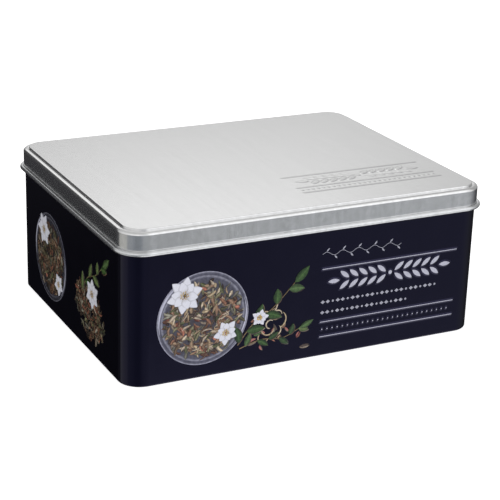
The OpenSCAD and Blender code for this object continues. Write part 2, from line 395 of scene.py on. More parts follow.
def make_petal_print(name, tip, heart):
    """Printed petal: streaked along its length, darker at its heart and along its edges."""
    ink, along, across = flat_print(name)
    base = ink.mix(ink.smooth(along, 0.0, 0.5), heart, tip)
    wave = {"Vector": ink.add("TexCoord").outputs["UV"], "Scale": 2.2, "Distortion": 1.2,
            "Detail": 2.0}
    streaks = ink.add("TexWave", wave, bands_direction="Y").outputs["Fac"]
    shade = ink.math("MULTIPLY", ink.smooth(ink.off_middle(across), 0.3, 0.52, 1.0, 0.72),
                     ink.smooth(streaks, 0.0, 0.35, 0.86, 1.0))
    return ink.feed(Base_Color=ink.scale(base, shade))


def make_glass_print(name, level):
    """Printed glass dish: a mottled grey field with a bright rim. level scales its tones."""
    ink, out, _ = flat_print(name)
    mottle = ink.smooth(ink.noise(0.6, 4), 0.3, 0.7, 0.75 * level, 1.2 * level)
    return ink.feed(Base_Color=ink.scale(ink.ramp(out, DISH_STOPS), mottle))


lid_tin = make_tinplate("satin_tinplate", LID_TONE, roughness=0.18, haze=0.04)
bare_tin = make_tinplate("bare_tinplate", BARE_TONE, roughness=0.25, haze=0.05)
lacquer = make_lacquer()
pale_print = make_pale_print()

HERB_TONES = [(0.2, 0.125, 0.075), (0.34, 0.24, 0.15), (0.125, 0.13, 0.065),
              (0.27, 0.14, 0.085), (0.48, 0.39, 0.29), (0.1, 0.075, 0.055),
              (0.22, 0.205, 0.115), (0.3, 0.19, 0.12), (0.42, 0.17, 0.11), (0.3, 0.285, 0.22)]
STRAW_TONES = [(0.48, 0.38, 0.24), (0.6, 0.5, 0.36), (0.36, 0.26, 0.16)]
LEAF_TONES = [(0.055, 0.105, 0.03), (0.085, 0.145, 0.05), (0.12, 0.165, 0.06),
              (0.045, 0.08, 0.028)]
STEM_TONES = [(0.16, 0.13, 0.06), (0.22, 0.16, 0.08)]
HEART_TONES = [(0.55, 0.36, 0.08), (0.66, 0.46, 0.14), (0.4, 0.24, 0.06)]
PRINTS = {
    # shadow is herb dimmed far down: painted shade for the short walls' heaps.
    "shadow": make_flake_print("shadow_herb", dimmed(HERB_TONES, 0.28)),
    "deep": make_flake_print("deep_herb", dimmed(HERB_TONES, 0.5)),
    "herb": make_flake_print("herb", HERB_TONES),
    "straw": make_flake_print("straw", STRAW_TONES),
    "leaf": make_flake_print("leaf", LEAF_TONES, dark=0.5, light=1.2, veins=True),
    "stem": make_flake_print("stem", STEM_TONES),
    "petal": make_petal_print("blossom", (0.9, 0.9, 0.98), (0.6, 0.57, 0.58)),
    "rose": make_petal_print("rose_petal", (0.48, 0.19, 0.16), (0.25, 0.07, 0.06)),
    "heart": make_flake_print("heart", HEART_TONES),
    "dish": make_glass_print("dish", 1.0),
    # A darker copy of the dish: painted shade for the short walls.
    "painted_shade_dish": make_glass_print("painted_shade_dish", 0.35),
    "shine": make_petal_print("shine", (0.62, 0.62, 0.74), (0.3, 0.3, 0.38)),
}

# ------------ sheet metal


def arc(cx, cz, r, start, end, step=BEND_STEP):
    """Points with left-hand normals along an arc, from one angle to another in degrees."""
    count = max(2, ceil(abs(end - start) / step))
    way = 1 if end > start else -1
    points = []
    for i in range(count + 1):
        a = radians(start + (end - start) * i / count)
        c, s = cos(a), sin(a)
        points.append((cx + r * c, cz + r * s, -way * c, -way * s))
    return points


def run(x0, z0, x1, z1):
    """Points with left-hand normals along a straight stretch."""
    length = hypot(x1 - x0, z1 - z0)
    tx, tz = (x1 - x0) / length, (z1 - z0) / length
    ease = min(RUN_EASE, length / 4)
    places = [0, ease, length - ease, length]
    return [(x0 + tx * s, z0 + tz * s, -tz, tx) for s in places]


def step_up(x, z, height, r):
    """A step in the sheet inwards and up, from its lower face at (x, z): bend, riser and bend."""
    bend = r - HALF_T
    top = z + height + SHEET_T - r
    riser = x - r + HALF_T
    return join_path(arc(x, z + r, bend, 270, 180), run(riser, z + r, riser, top),
                     arc(x - 2 * r + SHEET_T, top, bend, 0, 90))


def plate_edge(path):
    """The short flat stretch inwards from the path's end, where the flat plate begins."""
    x, z = path[-1][:2]
    return run(x, z, x - PLATE_LAP, z)


def join_path(*stretches):
    """One path from several stretches, without the points that they share."""
    path = []
    for x, z, nx, nz in (point for stretch in stretches for point in stretch):
        if not path or hypot(x - path[-1][0], z - path[-1][1]) > SAME_POINT:
            path.append((x, z, nx, nz))
    return path


def stations():
    """Places round the box as (x, y, outward x, outward y), anticlockwise as seen from above, from
    the back end of the right side."""
    places = []
    for quarter, (sx, sy) in enumerate([(1, 1), (-1, 1), (-1, -1), (1, -1)]):
        cx, cy = sx * (BODY_W / 2 - CORNER_R), sy * (BODY_D / 2 - CORNER_R)
        for i in range(CORNER_STEPS + 1):
            a = pi / 2 * (quarter + i / CORNER_STEPS)
            dx, dy = cos(a), sin(a)
            x, y = cx + CORNER_R * dx, cy + CORNER_R * dy
            if i == 0:
                places.append((x + CORNER_EASE * dy, y - CORNER_EASE * dx, dx, dy))
            places.append((x, y, dx, dy))
            if i == CORNER_STEPS:
                places.append((x - CORNER_EASE * dy, y + CORNER_EASE * dx, dx, dy))
    return places


def join_rings(bm, ring_a, ring_b, index=0, smooth=True):
    """A band of faces between two closed rings of equally many vertices."""
    count = len(ring_a)
    for k in range(count):
        n = (k + 1) % count
        face = bm.faces.new((ring_a[k], ring_a[n], ring_b[n], ring_b[k]))
        face.material_index = index
        face.smooth = smooth


def sweep_sheet(bm, path, left, right, closed_end=True):
    """Sweeps a sheet of SHEET_T round the box. left and right are material indices of its two
    skins. Returns the rings of vertices at the path's end, left then right."""
    rings = {}
    round_box = stations()
    for side in (1, -1):
        rings[side] = []
        for x, z, nx, nz in path:
            px, pz = x + side * HALF_T * nx, z + side * HALF_T * nz
            rings[side].append([bm.verts.new(metres(sx + dx * px, sy + dy * px, pz))
                                for sx, sy, dx, dy in round_box])
    for side, index in ((1, left), (-1, right)):
        for a, b in zip(rings[side], rings[side][1:]):
            join_rings(bm, a, b, index)
    join_rings(bm, rings[1][0], rings[-1][0], left)
    if closed_end:
        join_rings(bm, rings[1][-1], rings[-1][-1], left)
    return rings[1][-1], rings[-1][-1]


def finish_mesh(name, bm, materials):
    """Makes an object of bm, with faces turned outwards and edges over SHARP_ANGLE kept sharp."""
    bmesh.ops.recalc_face_normals(bm, faces=bm.faces)
    mesh = bpy.data.meshes.new(name)
    bm.to_mesh(mesh)
    bm.free()
    for m in materials:
        mesh.materials.append(m)
    mesh.set_sharp_from_angle(angle=SHARP_ANGLE)
    return add_object(name, mesh)


def ring_edges(bm, ring):
    return [bm.edges.get((a, b)) for a, b in zip(ring, ring[1:] + ring[:1])]


def grid_cells(grid):
    """The corners of each cell in a grid of vertices."""
    return [(a[j], b[j], b[j + 1], a[j + 1])
            for a, b in zip(grid, grid[1:]) for j in range(len(a) - 1)]


def grid_border(n, m):
    """The places on the border of a grid of n rows of m, once round it."""
    return ([(i, 0) for i in range(n)] + [(n - 1, j) for j in range(1, m)]
            + [(i, m - 1) for i in range(n - 2, -1, -1)] + [(0, j) for j in range(m - 2, 0, -1)])


# ------------ relief


def leaf_places(length):
    """Where the garland's leaves start and point, as (x, y, angle), and its bud: x."""
    half = length / 2
    reach = half - BUD_GAP
    pairs = int((reach - LEAF_LEN) / LEAF_PITCH)
    spots = [(i * LEAF_PITCH, side * LEAF_OFFSET, side * LEAF_ANGLE)
             for i in range(pairs) for side in (-1, 1)]
    spots.append((pairs * LEAF_PITCH, 0, 0))
    leaves = []
    for way in (0, pi):
        c, s = cos(way), sin(way)
        for x, y, angle in spots:
            leaves.append((half + c * (BUD_GAP + x) - s * y, s * (BUD_GAP + x) + c * y,
                           way + angle))
    return leaves, half


def band_lines(band):
    """The heights of a band's three rules, of its leaves' stem and of its dots."""
    low, middle = band["low"], band["low"] + band["pitch"]
    top = middle + band["wide"]
    return (low, middle, top), top - band["drop"], low + band["pitch"] / 2


# Each distance is to the outline of a shape, and below zero inside it.


def rule_distance(x, y, x0, x1, y0):
    reach = RULE_W / 2
    nearest = np.clip(x, x0 + reach, x1 - reach)
    return np.hypot(x - nearest, y - y0) - reach


def disc_distance(x, y, cx, cy, r):
    return np.hypot(x - cx, y - cy) - r


def leaf_distance(x, y, leaf):
    along, aside = leaf_frame(x, y, leaf)
    u, v = along - LEAF_LEN / 2, np.abs(aside)
    r = leaf_radius(LEAF_LEN, LEAF_W)
    inside = np.hypot(u, v + r - LEAF_W / 2) - r
    tip = np.hypot(np.abs(u) - LEAF_LEN / 2, v)
    return np.where(np.abs(u) <= LEAF_LEN / 2, inside, np.maximum(inside, tip))


def leaf_frame(x, y, leaf):
    """How far points lie along a leaf from its root, and beside its middle line."""
    lx, ly, angle = leaf
    c, s = cos(angle), sin(angle)
    return (x - lx) * c + (y - ly) * s, (y - ly) * c - (x - lx) * s


def leaf_radius(length, width):
    """The radius of the two arcs between which a pointed leaf lies."""
    return (length ** 2 + width ** 2) / (4 * width)


def leaf_vein(x, y, leaf):
    """The share of a leaf's height that its vein takes away, fading towards its tip."""
    along, aside = leaf_frame(x, y, leaf)
    fade = np.clip((LEAF_LEN - along) / LEAF_LEN * VEIN_FADE, 0, 1)
    return VEIN_DEPTH * np.exp(-((aside / VEIN_W) ** 2)) * fade


def rise(distance, height):
    """A smooth flank from full height inside an outline down to nothing outside it."""
    t = np.clip(1 - distance / RELIEF_FLANK, 0, 1)
    return height * t * t * (3 - 2 * t)


def band_relief(x, y, band, height):
    """Height of a band's relief over the plain surface, and distance to its outlines, at points
    from its start."""
    rules, stem, dots = band_lines(band)
    length = band["length"]
    leaves, bud = leaf_places(length)
    far = [rule_distance(x, y, 0, length, line) for line in rules]
    far.append(disc_distance(x, y, bud, stem, BUD_R))
    for i in range(int(length / DOT_PITCH)):
        far.append(disc_distance(x, y, (i + 0.5) * DOT_PITCH, dots, DOT_R))
    nearest = np.minimum.reduce(far)
    total = rise(nearest, height)
    for lx, ly, angle in leaves:
        leaf = (lx, stem + ly, angle)
        distance = leaf_distance(x, y, leaf)
        nearest = np.minimum(nearest, distance)
        groove = leaf_vein(x, y, leaf) * (distance < 0)
        total = np.maximum(total, rise(distance, height) * (1 - groove))
    return total, nearest


def band_grid(band, height):
    """A grid over a band with a plain margin round it: its places across and up, and at each the
    relief's height and the distance to its outlines."""
    rules, _, _ = band_lines(band)
    us = steps(BAND_START - RELIEF_MARGIN, BAND_START + band["length"] + RELIEF_MARGIN,
               RELIEF_STEP)
    vs = steps(rules[0] - RELIEF_MARGIN, rules[-1] + RELIEF_MARGIN, RELIEF_STEP)
    u, v = np.meshgrid(us, vs, indexing="ij")
    return us, vs, *band_relief(u - BAND_START, v, band, height)


def steps(low, high, step):
    return list(np.linspace(low, high, max(2, round((high - low) / step)) + 1))


def add_patch(bm, place, us, vs, heights, host_edges, normal, cover=None):
    """A grid of raised points whose flat rim is joined to the edges of the hole around it."""
    grid = [[bm.verts.new(place(u, v, heights[i][j])) for j, v in enumerate(vs)]
            for i, u in enumerate(us)]
    if cover is not None:
        layer = bm.verts.layers.float["print_cover"]
        for row, values in zip(grid, cover):
            for vert, value in zip(row, values):
                vert[layer] = value
    for corners in grid_cells(grid):
        bm.faces.new(corners).smooth = True
    rim = [grid[i][j] for i, j in grid_border(len(us), len(vs))]
    filled = bmesh.ops.triangle_fill(bm, use_beauty=True, use_dissolve=False,
                                     edges=ring_edges(bm, rim) + host_edges, normal=normal)
    for face in filled["geom"]:
        if isinstance(face, bmesh.types.BMFace):
            face.smooth = True


def open_wall(bm, toward):
    """Takes out the largest face that looks that way and returns its edges."""
    facing = [f for f in bm.faces if f.normal.dot(toward) > FACING]
    face = max(facing, key=lambda f: f.calc_area())
    edges = list(face.edges)
    bmesh.ops.delete(bm, geom=[face], context="FACES_ONLY")
    return edges


# ------------ box


def emboss_front(bm):
    """Puts the band of rules, leaves and dots into the front."""
    outward = Vector((0, -1, 0))
    us, vs, heights, distance = band_grid(FRONT_BAND, FRONT_RELIEF)
    hole = open_wall(bm, outward)
    cover = np.clip(COVER_REACH - distance, 0, 2 * COVER_REACH)
    add_patch(bm, lambda u, v, h: metres(u, -BODY_D / 2 - h, v), us, vs, heights, hole, outward,
              cover)


def crease_back(bm):
    """Puts the lock seam's fine upright crease into the back."""
    outward = Vector((0, 1, 0))
    middle = LOCK_W / 2 - CREASE_W / 2
    reach = CREASE_REACH * CREASE_W
    low = EDGE_R + CREASE_FOOT
    us = steps(middle - reach, middle + reach, CREASE_W / CREASE_CELLS)
    vs = [low, low + CREASE_END, LID_CURL_Z - CREASE_END, LID_CURL_Z]
    x, z = np.meshgrid(us, vs, indexing="ij")
    ends = np.where((z > vs[0]) & (z < vs[-1]), 1, 0)
    heights = -CREASE_DEPTH * np.exp(-((x - middle) / CREASE_W * CREASE_TAPER) ** 2) * ends
    heights[0], heights[-1] = 0, 0
    hole = open_wall(bm, outward)
    add_patch(bm, lambda u, v, h: metres(u, BODY_D / 2 + h, v), us, vs, heights, hole, outward)


def make_body():
    hem_z = HALF_T + 2 * LAYER
    path = join_path(
        arc(-RIM_R, RIM_Z, RIM_R - HALF_T, RIM_OPENING, 0),
        run(-HALF_T, RIM_Z, -HALF_T, EDGE_R),
        arc(-EDGE_R, EDGE_R, EDGE_R - HALF_T, 0, -90),
        run(-EDGE_R, HALF_T, -SEAM_W, HALF_T),
        arc(-SEAM_W, FOLD_OUT, FOLD_R, 270, 90, FOLD_STEP),
        run(-SEAM_W, hem_z, -SEAM_LAP, hem_z))
    bm = bmesh.new()
    bm.verts.layers.float.new("print_cover")
    sweep_sheet(bm, path, left=0, right=1)
    bmesh.ops.recalc_face_normals(bm, faces=bm.faces)
    emboss_front(bm)
    crease_back(bm)
    body = finish_mesh("body_shell", bm, [lacquer, bare_tin])
    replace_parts(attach(body, "tin"), "body_wall")


def make_base():
    hook_z, lap_z = HALF_T + LAYER, HALF_T + 3 * LAYER
    step = step_up(STEP_X, 3 * LAYER, FLOOR_RISE, FLOOR_BEND_R)
    path = join_path(
        run(-SEAM_W, hook_z, -SEAM_LAP, hook_z),
        arc(-SEAM_LAP, FOLD_OUT + LAYER, FOLD_R, 270, 450, FOLD_STEP),
        run(-SEAM_LAP, lap_z, STEP_X, lap_z), step, plate_edge(step))
    bm = bmesh.new()
    under, over = sweep_sheet(bm, path, left=0, right=0, closed_end=False)
    bm.faces.new(under)
    bm.faces.new(over)
    base = finish_mesh("base_shell", bm, [bare_tin])
    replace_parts(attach(base, "tin"), "bottom_panel")


def make_lock_seam():
    """The folded seam inside the back wall: a flat bar with rounded long edges."""
    low, high = 4 * LAYER + LOCK_CLEAR, RIM_Z - RIM_R - LOCK_CLEAR
    face_y = BODY_D / 2 - SHEET_T - LOCK_T
    depth = LOCK_T + HALF_T
    half, r = LOCK_W / 2, LOCK_R
    quarter = [(sin(a), cos(a)) for a in np.linspace(0, pi / 2, 5)]
    outline = [(-half, depth)]
    outline += [(-half + r - r * c, r - r * s) for s, c in quarter]
    outline += [(half - r + r * s, r - r * c) for s, c in quarter]
    outline += [(half, depth)]
    bm = bmesh.new()
    rings = [[bm.verts.new(metres(x, face_y + y, z)) for x, y in outline]
             for z in (low, low + LOCK_EASE, high - LOCK_EASE, high)]
    for a, b in zip(rings, rings[1:]):
        join_rings(bm, a, b)
    bm.faces.new(rings[0])
    bm.faces.new(rings[-1])
    seam = finish_mesh("side_seam", bm, [bare_tin])
    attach(seam, "tin")


def make_lid():
    turn, fall = degrees(SHOULDER_TURN), degrees(LEDGE_FALL)
    skirt = SKIRT_X - HALF_T
    crown = arc(CROWN_X, LEDGE_Z - CROWN_R, CROWN_R - HALF_T, turn, 90 + fall, CROWN_STEP)
    ledge_x, ledge_z = crown[-1][:2]
    r = LEDGE_BEND_R - HALF_T
    riser = SKIRT_X - PANEL_INSET - r
    foot_x = riser + r + r * sin(LEDGE_FALL)
    foot_z = ledge_z - (ledge_x - foot_x) * tan(LEDGE_FALL)
    groove_z = foot_z + r * cos(LEDGE_FALL)
    edge_z = PANEL_Z - PANEL_BEND_R
    edge = arc(riser + HALF_T - PANEL_BEND_R, edge_z, PANEL_BEND_R - HALF_T, 0, 90)
    path = join_path(
        arc(LID_GAP + CURL_R, LID_CURL_Z, CURL_R - HALF_T, CURL_OPENING, -180),
        run(skirt, LID_CURL_Z, skirt, SHOULDER_Z),
        arc(SKIRT_X - SHOULDER_R, SHOULDER_Z, SHOULDER_R - HALF_T, 0, turn), crown,
        run(ledge_x, ledge_z, foot_x, foot_z), arc(riser + r, groove_z, r, 270 + fall, 180),
        run(riser, groove_z, riser, edge_z), edge, plate_edge(edge))
    bm = bmesh.new()
    under, over = sweep_sheet(bm, path, left=1, right=0, closed_end=False)
    bm.faces.new(under).material_index = 1
    us, vs, heights, _ = band_grid(LID_BAND, LID_RELIEF)
    add_patch(bm, lambda u, v, h: metres(u, v, PANEL_Z + h), us, vs, heights,
              ring_edges(bm, over), Vector((0, 0, 1)))
    lid = finish_mesh("lid_shell", bm, [lid_tin, bare_tin])
    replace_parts(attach(lid, "lid"), "lid")


make_body()
make_base()
make_lock_seam()
make_lid()

# ------------ print

PRINT_LIFT = 0.015
PRINT_SINK = 0.02
LAYER_STEP = 0.0004

# Each wall as the middle of its foot, the direction to its right as seen from outside, and the
# direction outwards
WALLS = {
    "front": ((0, -BODY_D / 2), (1, 0), (0, -1)),
    "left": ((-BODY_W / 2, 0), (0, -1), (-1, 0)),
    "right": ((BODY_W / 2, 0), (0, 1), (1, 0)),
    "back": ((0, BODY_D / 2), (-1, 0), (0, 1)),
}

# How finely discs, highlights, stems and the outlines of flat print are cut
DISC_RINGS = 6
DISC_STEPS = 64
SHINE_STEPS = 14
STEM_STEPS = 6
LEAF_STEPS = 10
DOT_STEPS = 10

# Blossoms, as shares of their radius: how far the front petals reach, how wide petals are, how far
# out they start, and how the grains of the heart spread, each turned on by HEART_TURN
FRONT_PETALS = 0.72
PETAL_W = 0.62
PETAL_START = 0.1
HEART_SPREAD = 0.055
HEART_TURN = 2.4
HEART_GRAINS = 14
GRAIN_LEN = 0.9
GRAIN_W = 0.7

# Heaps: sizes of a flake, the share of kinds[2] among the upper ones, and how far the lower ones
# reach, as a share of the upper ones' reach
FLAKE_LEN = (2.4, 6.2)
FLAKE_W = (0.8, 2.2)
STRAW_SHARE = 0.16
UNDER_REACH = 1.05

# Sprigs and stalks: their widths, and how many points of a stem lie between two leaves
STEM_W = 0.7
CURL_W = 0.8
LEAF_EVERY = 3
# Where a dish's two highlights lie, as a share of its radius
SHINE_R = 0.955


def polar(x, y, r, a):
    return x + r * cos(a), y + r * sin(a)


class WallPrint:
    """Thin closed pieces of print on one wall, each a little above the one before."""

    def __init__(self, wall, seed):
        self.foot, self.right, self.out = WALLS[wall]
        self.random = random.Random(seed)
        self.uniform = self.random.uniform
        self.layer = 0
        self.bm = bmesh.new()
        self.uv = self.bm.loops.layers.uv.new("UVMap")
        self.kinds = []

    def place(self, a, b, h):
        x = self.foot[0] + self.right[0] * a + self.out[0] * h
        y = self.foot[1] + self.right[1] * a + self.out[1] * h
        return metres(x, y, b)

    def sheet(self, kind, rows):
        """One piece from rows of points (a, b), closed below: U over the rows, V along each."""
        if kind not in self.kinds:
            self.kinds.append(kind)
        index = self.kinds.index(kind)
        self.layer += 1
        top_h = PRINT_LIFT + self.layer * LAYER_STEP
        n, m = len(rows), len(rows[0])
        top = [[self.bm.verts.new(self.place(a, b, top_h)) for a, b in row] for row in rows]
        spots = {top[i][j]: (i / (n - 1), j / (m - 1)) for i in range(n) for j in range(m)}
        border = grid_border(n, m)
        rim = [top[i][j] for i, j in border]
        foot = []
        for i, j in border:
            low = self.bm.verts.new(self.place(*rows[i][j], -PRINT_SINK))
            spots[low] = spots[top[i][j]]
            foot.append(low)
        faces = grid_cells(top)
        faces += zip(rim, foot, foot[1:] + foot[:1], rim[1:] + rim[:1])
        faces.append(tuple(foot))
        for corners in faces:
            face = self.bm.faces.new(corners)
            face.material_index = index
            for loop in face.loops:
                loop[self.uv].uv = spots[loop.vert]

    def ribbon(self, kind, x, y, angle, length, width, bend=0.0, blunt=0.55, ragged=0.0, count=6,
               tip=0.06):
        """A leaf or flake from its root: bend is how far its line turns, blunt its fullness."""
        rows = []
        px, py = x, y
        for i in range(count + 1):
            t = i / count
            heading = angle + bend * (t - 0.5)
            half = width / 2 * max(tip, sin(pi * (t ** 0.85)) ** blunt)
            left = half * (1 + ragged * self.uniform(-1, 1))
            right = half * (1 + ragged * self.uniform(-1, 1))
            nx, ny = -sin(heading), cos(heading)
            rows.append([(px - nx * right, py - ny * right), (px, py),
                         (px + nx * left, py + ny * left)])
            px += cos(heading) * length / count
            py += sin(heading) * length / count
        self.sheet(kind, rows)

    def stem(self, points):
        """A thin line through a few points, rounded into a curve, half as wide at its end."""
        line = smooth_line(points)
        rows = []
        for i, (px, py) in enumerate(line):
            before, after = line[max(0, i - 1)], line[min(len(line) - 1, i + 1)]
            length = hypot(after[0] - before[0], after[1] - before[1])
            nx, ny = -(after[1] - before[1]) / length, (after[0] - before[0]) / length
            half = STEM_W / 2 * (1 - 0.5 * i / len(line))
            rows.append([(px - nx * half, py - ny * half), (px + nx * half, py + ny * half)])
        self.sheet("stem", rows)
        return line

    def disc(self, kind, x, y, radius):
        """A flat disc: U runs from its middle to its rim."""
        turns = np.linspace(0, 2 * pi, DISC_STEPS + 1)
        rows = []
        for i in range(DISC_RINGS + 1):
            r = radius * max(0.02, i / DISC_RINGS)
            rows.append([polar(x, y, r, a) for a in turns])
        self.sheet(kind, rows)

    def shine(self, x, y, radius, width, start, end):
        """A curved highlight along an arc, pointed at both ends."""
        rows = []
        for i in range(SHINE_STEPS + 1):
            t = i / SHINE_STEPS
            a = start + (end - start) * t
            half = width / 2 * max(0.05, sin(pi * t))
            rows.append([polar(x, y, radius + s * half, a) for s in (-1, 1)])
        self.sheet("shine", rows)

    def dish(self, kind, x, y, radius):
        """A shallow glass dish seen from above, with soft highlights on its rim."""
        self.disc(kind, x, y, radius)
        self.shine(x, y, radius * SHINE_R, radius * 0.05, 1.9, 3.4)
        self.shine(x, y, radius * SHINE_R, radius * 0.035, -0.9, 0.35)

    def blossom(self, x, y, radius, petals, turn, squash=1.0):
        """An open blossom: a ring of broad petals, a smaller one over their gaps, and a grainy
        heart. squash under 1 makes it narrower across the direction of turn."""
        start = PETAL_START * radius
        for level, offset in ((1.0, 0.0), (FRONT_PETALS, 0.5)):
            for k in range(petals):
                a = turn + 2 * pi * (k + offset) / petals + self.uniform(-0.08, 0.08)
                reach = radius * level * (squash + (1 - squash) * abs(cos(a - turn)))
                self.ribbon("petal", *polar(x, y, start, a), a, reach, radius * PETAL_W,
                            bend=self.uniform(-0.25, 0.25), blunt=0.75, count=8, tip=0.12)
        for k in range(HEART_GRAINS):
            a = k * HEART_TURN
            px, py = polar(x, y, radius * HEART_SPREAD * sqrt(k), a)
            self.ribbon("heart", px - 0.3, py, a, GRAIN_LEN, GRAIN_W, count=3, blunt=0.5)

    def heap(self, x, y, reach_a, reach_b, count, shade, tilt=0, kinds=("deep", "herb", "straw")):
        """Loose dried leaf in an oval. First comes a share of pieces, shade, of the first kind;
        those over them are of the second kind and a few of the third."""
        for k in range(count):
            under = k < count * shade
            r = sqrt(self.random.random()) * (UNDER_REACH if under else 1.0)
            a = self.uniform(0, 2 * pi)
            u, v = r * cos(a) * reach_a, r * sin(a) * reach_b
            px = x + u * cos(tilt) - v * sin(tilt)
            py = y + u * sin(tilt) + v * cos(tilt)
            size = self.uniform(*FLAKE_LEN)
            heading = self.uniform(0, 2 * pi)
            px, py = polar(px, py, -size / 2, heading)
            if under:
                kind = kinds[0]
            else:
                kind = kinds[2] if self.random.random() < STRAW_SHARE else kinds[1]
            self.ribbon(kind, px, py, heading, size, self.uniform(*FLAKE_W), ragged=0.3,
                        bend=self.uniform(-1.3, 1.3), blunt=self.uniform(0.4, 0.9), count=5)

    def scatter(self, x0, x1, y0, y1, count, fall):
        """Single flakes and petals strewn over an oblong, lower to the right by fall, each on a
        dark one."""
        for _ in range(count):
            px = self.uniform(x0, x1)
            py = self.uniform(y0, y1) - fall * (px - x0) / (x1 - x0)
            heading = self.uniform(-1.2, 1.2)
            kind = self.random.choice(("herb", "herb", "straw", "rose", "leaf"))
            size = self.uniform(2.5, 6.0)
            self.ribbon("deep", px + 0.25, py - 0.3, heading, size, 1.3, bend=0.5, count=5)
            self.ribbon(kind, px, py, heading, size, self.uniform(0.8, 1.8), ragged=0.15,
                        bend=self.uniform(-1.2, 1.2))

    def curls(self, x, y, reach, count):
        """Dried stalks that curl, strewn round a spot."""
        for _ in range(count):
            px = x + self.uniform(-reach, reach)
            py = y + self.uniform(-reach, reach) * 0.8
            heading = self.uniform(0, 2 * pi)
            length = self.uniform(7, 12)
            bend = self.random.choice((-1, 1)) * self.uniform(1.2, 4.0)
            self.ribbon("straw", px, py, heading, length, CURL_W, bend=bend, blunt=0.3, count=14)

    def sprig(self, points, leaf_length, leaf_width, first=1):
        """A stem with leaves to both sides, each on a dark one, and one at its tip."""
        line = self.stem(points)
        side = 1
        for i in range(first, len(line) - 1, LEAF_EVERY):
            x, y = line[i]
            heading = atan2(line[i + 1][1] - y, line[i + 1][0] - x)
            heading += side * self.uniform(0.6, 0.95)
            size = leaf_length * self.uniform(0.8, 1.05) * (1 - 0.25 * i / len(line))
            self.ribbon("deep", x + 0.3, y - 0.35, heading, size, leaf_width, bend=0.3 * side)
            self.ribbon("leaf", x, y, heading, size, leaf_width, bend=0.3 * side, blunt=0.8,
                        count=10)
            side = -side
        (x0, y0), (x, y) = line[-2:]
        self.ribbon("leaf", x, y, atan2(y - y0, x - x0), leaf_length, leaf_width, bend=0.25,
                    blunt=0.8, count=10)

    def make(self, name):
        made = finish_mesh(name, self.bm, [PRINTS[kind] for kind in self.kinds])
        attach(made, "tin")


def smooth_line(points):
    """A Catmull-Rom curve through the points."""
    ends = [points[0], *points, points[-1]]
    line = []
    for p0, p1, p2, p3 in zip(ends, ends[1:], ends[2:], ends[3:]):
        for k in range(STEM_STEPS):
            t = k / STEM_STEPS
            line.append(tuple(0.5 * (2 * b + (c - a) * t + (2 * a - 5 * b + 4 * c - d) * t * t
                                     + (3 * b - a - 3 * c + d) * t ** 3)
                              for a, b, c, d in zip(p0, p1, p2, p3)))
    line.append(points[-1])
    return line


def print_long_wall(wall, seed):
    """The long walls: a dish of dried leaf with blossoms, and sprigs and petals beside it."""
    art = WallPrint(wall, seed)
    art.scatter(-36, -6, 12, 26, count=16, fall=6)
    art.dish("dish", -60, 31.5, 24.5)
    art.heap(-60, 31, 20, 19, count=480, shade=0.5)
    art.curls(-24, 22, reach=7, count=9)
    art.sprig([(-41, 14), (-33, 24), (-22, 31), (-10, 43)], 11, 4.6)
    art.sprig([(-40, 12), (-28, 15), (-16, 14), (-6, 18)], 8, 3.2, first=2)
    art.blossom(-70, 45, 8.6, petals=6, turn=0.3)
    art.blossom(-47.5, 22, 6.4, petals=5, turn=0.8, squash=0.8)
    art.blossom(-29, 27, 4.4, petals=5, turn=0.1, squash=0.85)
    art.make(wall + "_art")


def print_short_wall(wall, seed):
    """The short walls: a dish of dried leaf, and a loose heap with a blossom beside it. The dish
    and the heaps are printed darker than on the long walls, as painted shade.
    """
    art = WallPrint(wall, seed)
    # Each heap's kinds are one step darker than on the long walls (shadow, deep, herb in place of
    # deep, herb, straw): painted shade.
    kinds = ("shadow", "deep", "herb")
    art.heap(29, 22, 20, 13, count=360, shade=0.55, tilt=-0.25, kinds=kinds)
    art.sprig([(18, 30), (27, 40), (38, 45), (48, 53)], 10, 4.2)
    art.blossom(33, 33, 7.8, petals=6, turn=0.5, squash=0.85)
    # The dish in its darker copy: painted shade.
    art.dish("painted_shade_dish", -29, 31, 24)
    art.heap(-29, 30.5, 19.5, 18.5, count=560, shade=0.55, kinds=kinds)
    art.blossom(-38, 44, 8.0, petals=6, turn=0.1)
    art.blossom(-16, 20, 6.0, petals=5, turn=0.9, squash=0.8)
    art.make(wall + "_art")


for wall, seed in (("front", 11), ("back", 12)):
    print_long_wall(wall, seed)
for wall, seed in (("left", 21), ("right", 22)):
    print_short_wall(wall, seed)

# ------------ pale print on the front

# The tendril, and the small leaves (bracts) on its waves
TENDRIL_Z = 55.5
TENDRIL_LEN = 46
TENDRIL_SWING = 1.0
TENDRIL_W = 0.26
WAVES = 5
QUARTER_WAVE = 4
BRACT_LEN = 2.4
BRACT_W = 0.8
BRACT_ANGLE = 0.8
BRACT_START = 0.3
# The trim rows: how much shorter than the band each is, and its height
TRIM_ROWS = [(10, 29.6), (26, 23.9)]
TRIM_PITCH = 2.9
TRIM_REACH = 1.25
LOZENGE_H = 0.8
TRIM_DOT = 0.5


def plate(bm, outline):
    """A thin closed piece of pale print over an outline (x, z)."""
    top, low = ([bm.verts.new(metres(BAND_START + x, -BODY_D / 2 + y, z)) for x, z in outline]
                for y in (-PRINT_LIFT, PRINT_SINK))
    bm.faces.new(top)
    bm.faces.new(low)
    join_rings(bm, top, low, smooth=False)


def dot_outline(cx, cy, r):
    return [polar(cx, cy, r, 2 * pi * k / DOT_STEPS) for k in range(DOT_STEPS)]


def leaf_outline(x, y, angle, length, width):
    """A pointed leaf between two arcs, from its root."""
    r = leaf_radius(length, width)
    c, s = cos(angle), sin(angle)
    along = [length / 2 - length / 2 * cos(pi * k / LEAF_STEPS) for k in range(LEAF_STEPS + 1)]
    upper = [(u, sqrt(r ** 2 - (u - length / 2) ** 2) - r + width / 2) for u in along]
    lower = [(u, -v) for u, v in reversed(upper[1:-1])]
    return [(x + u * c - v * s, y + u * s + v * c) for u, v in upper + lower]


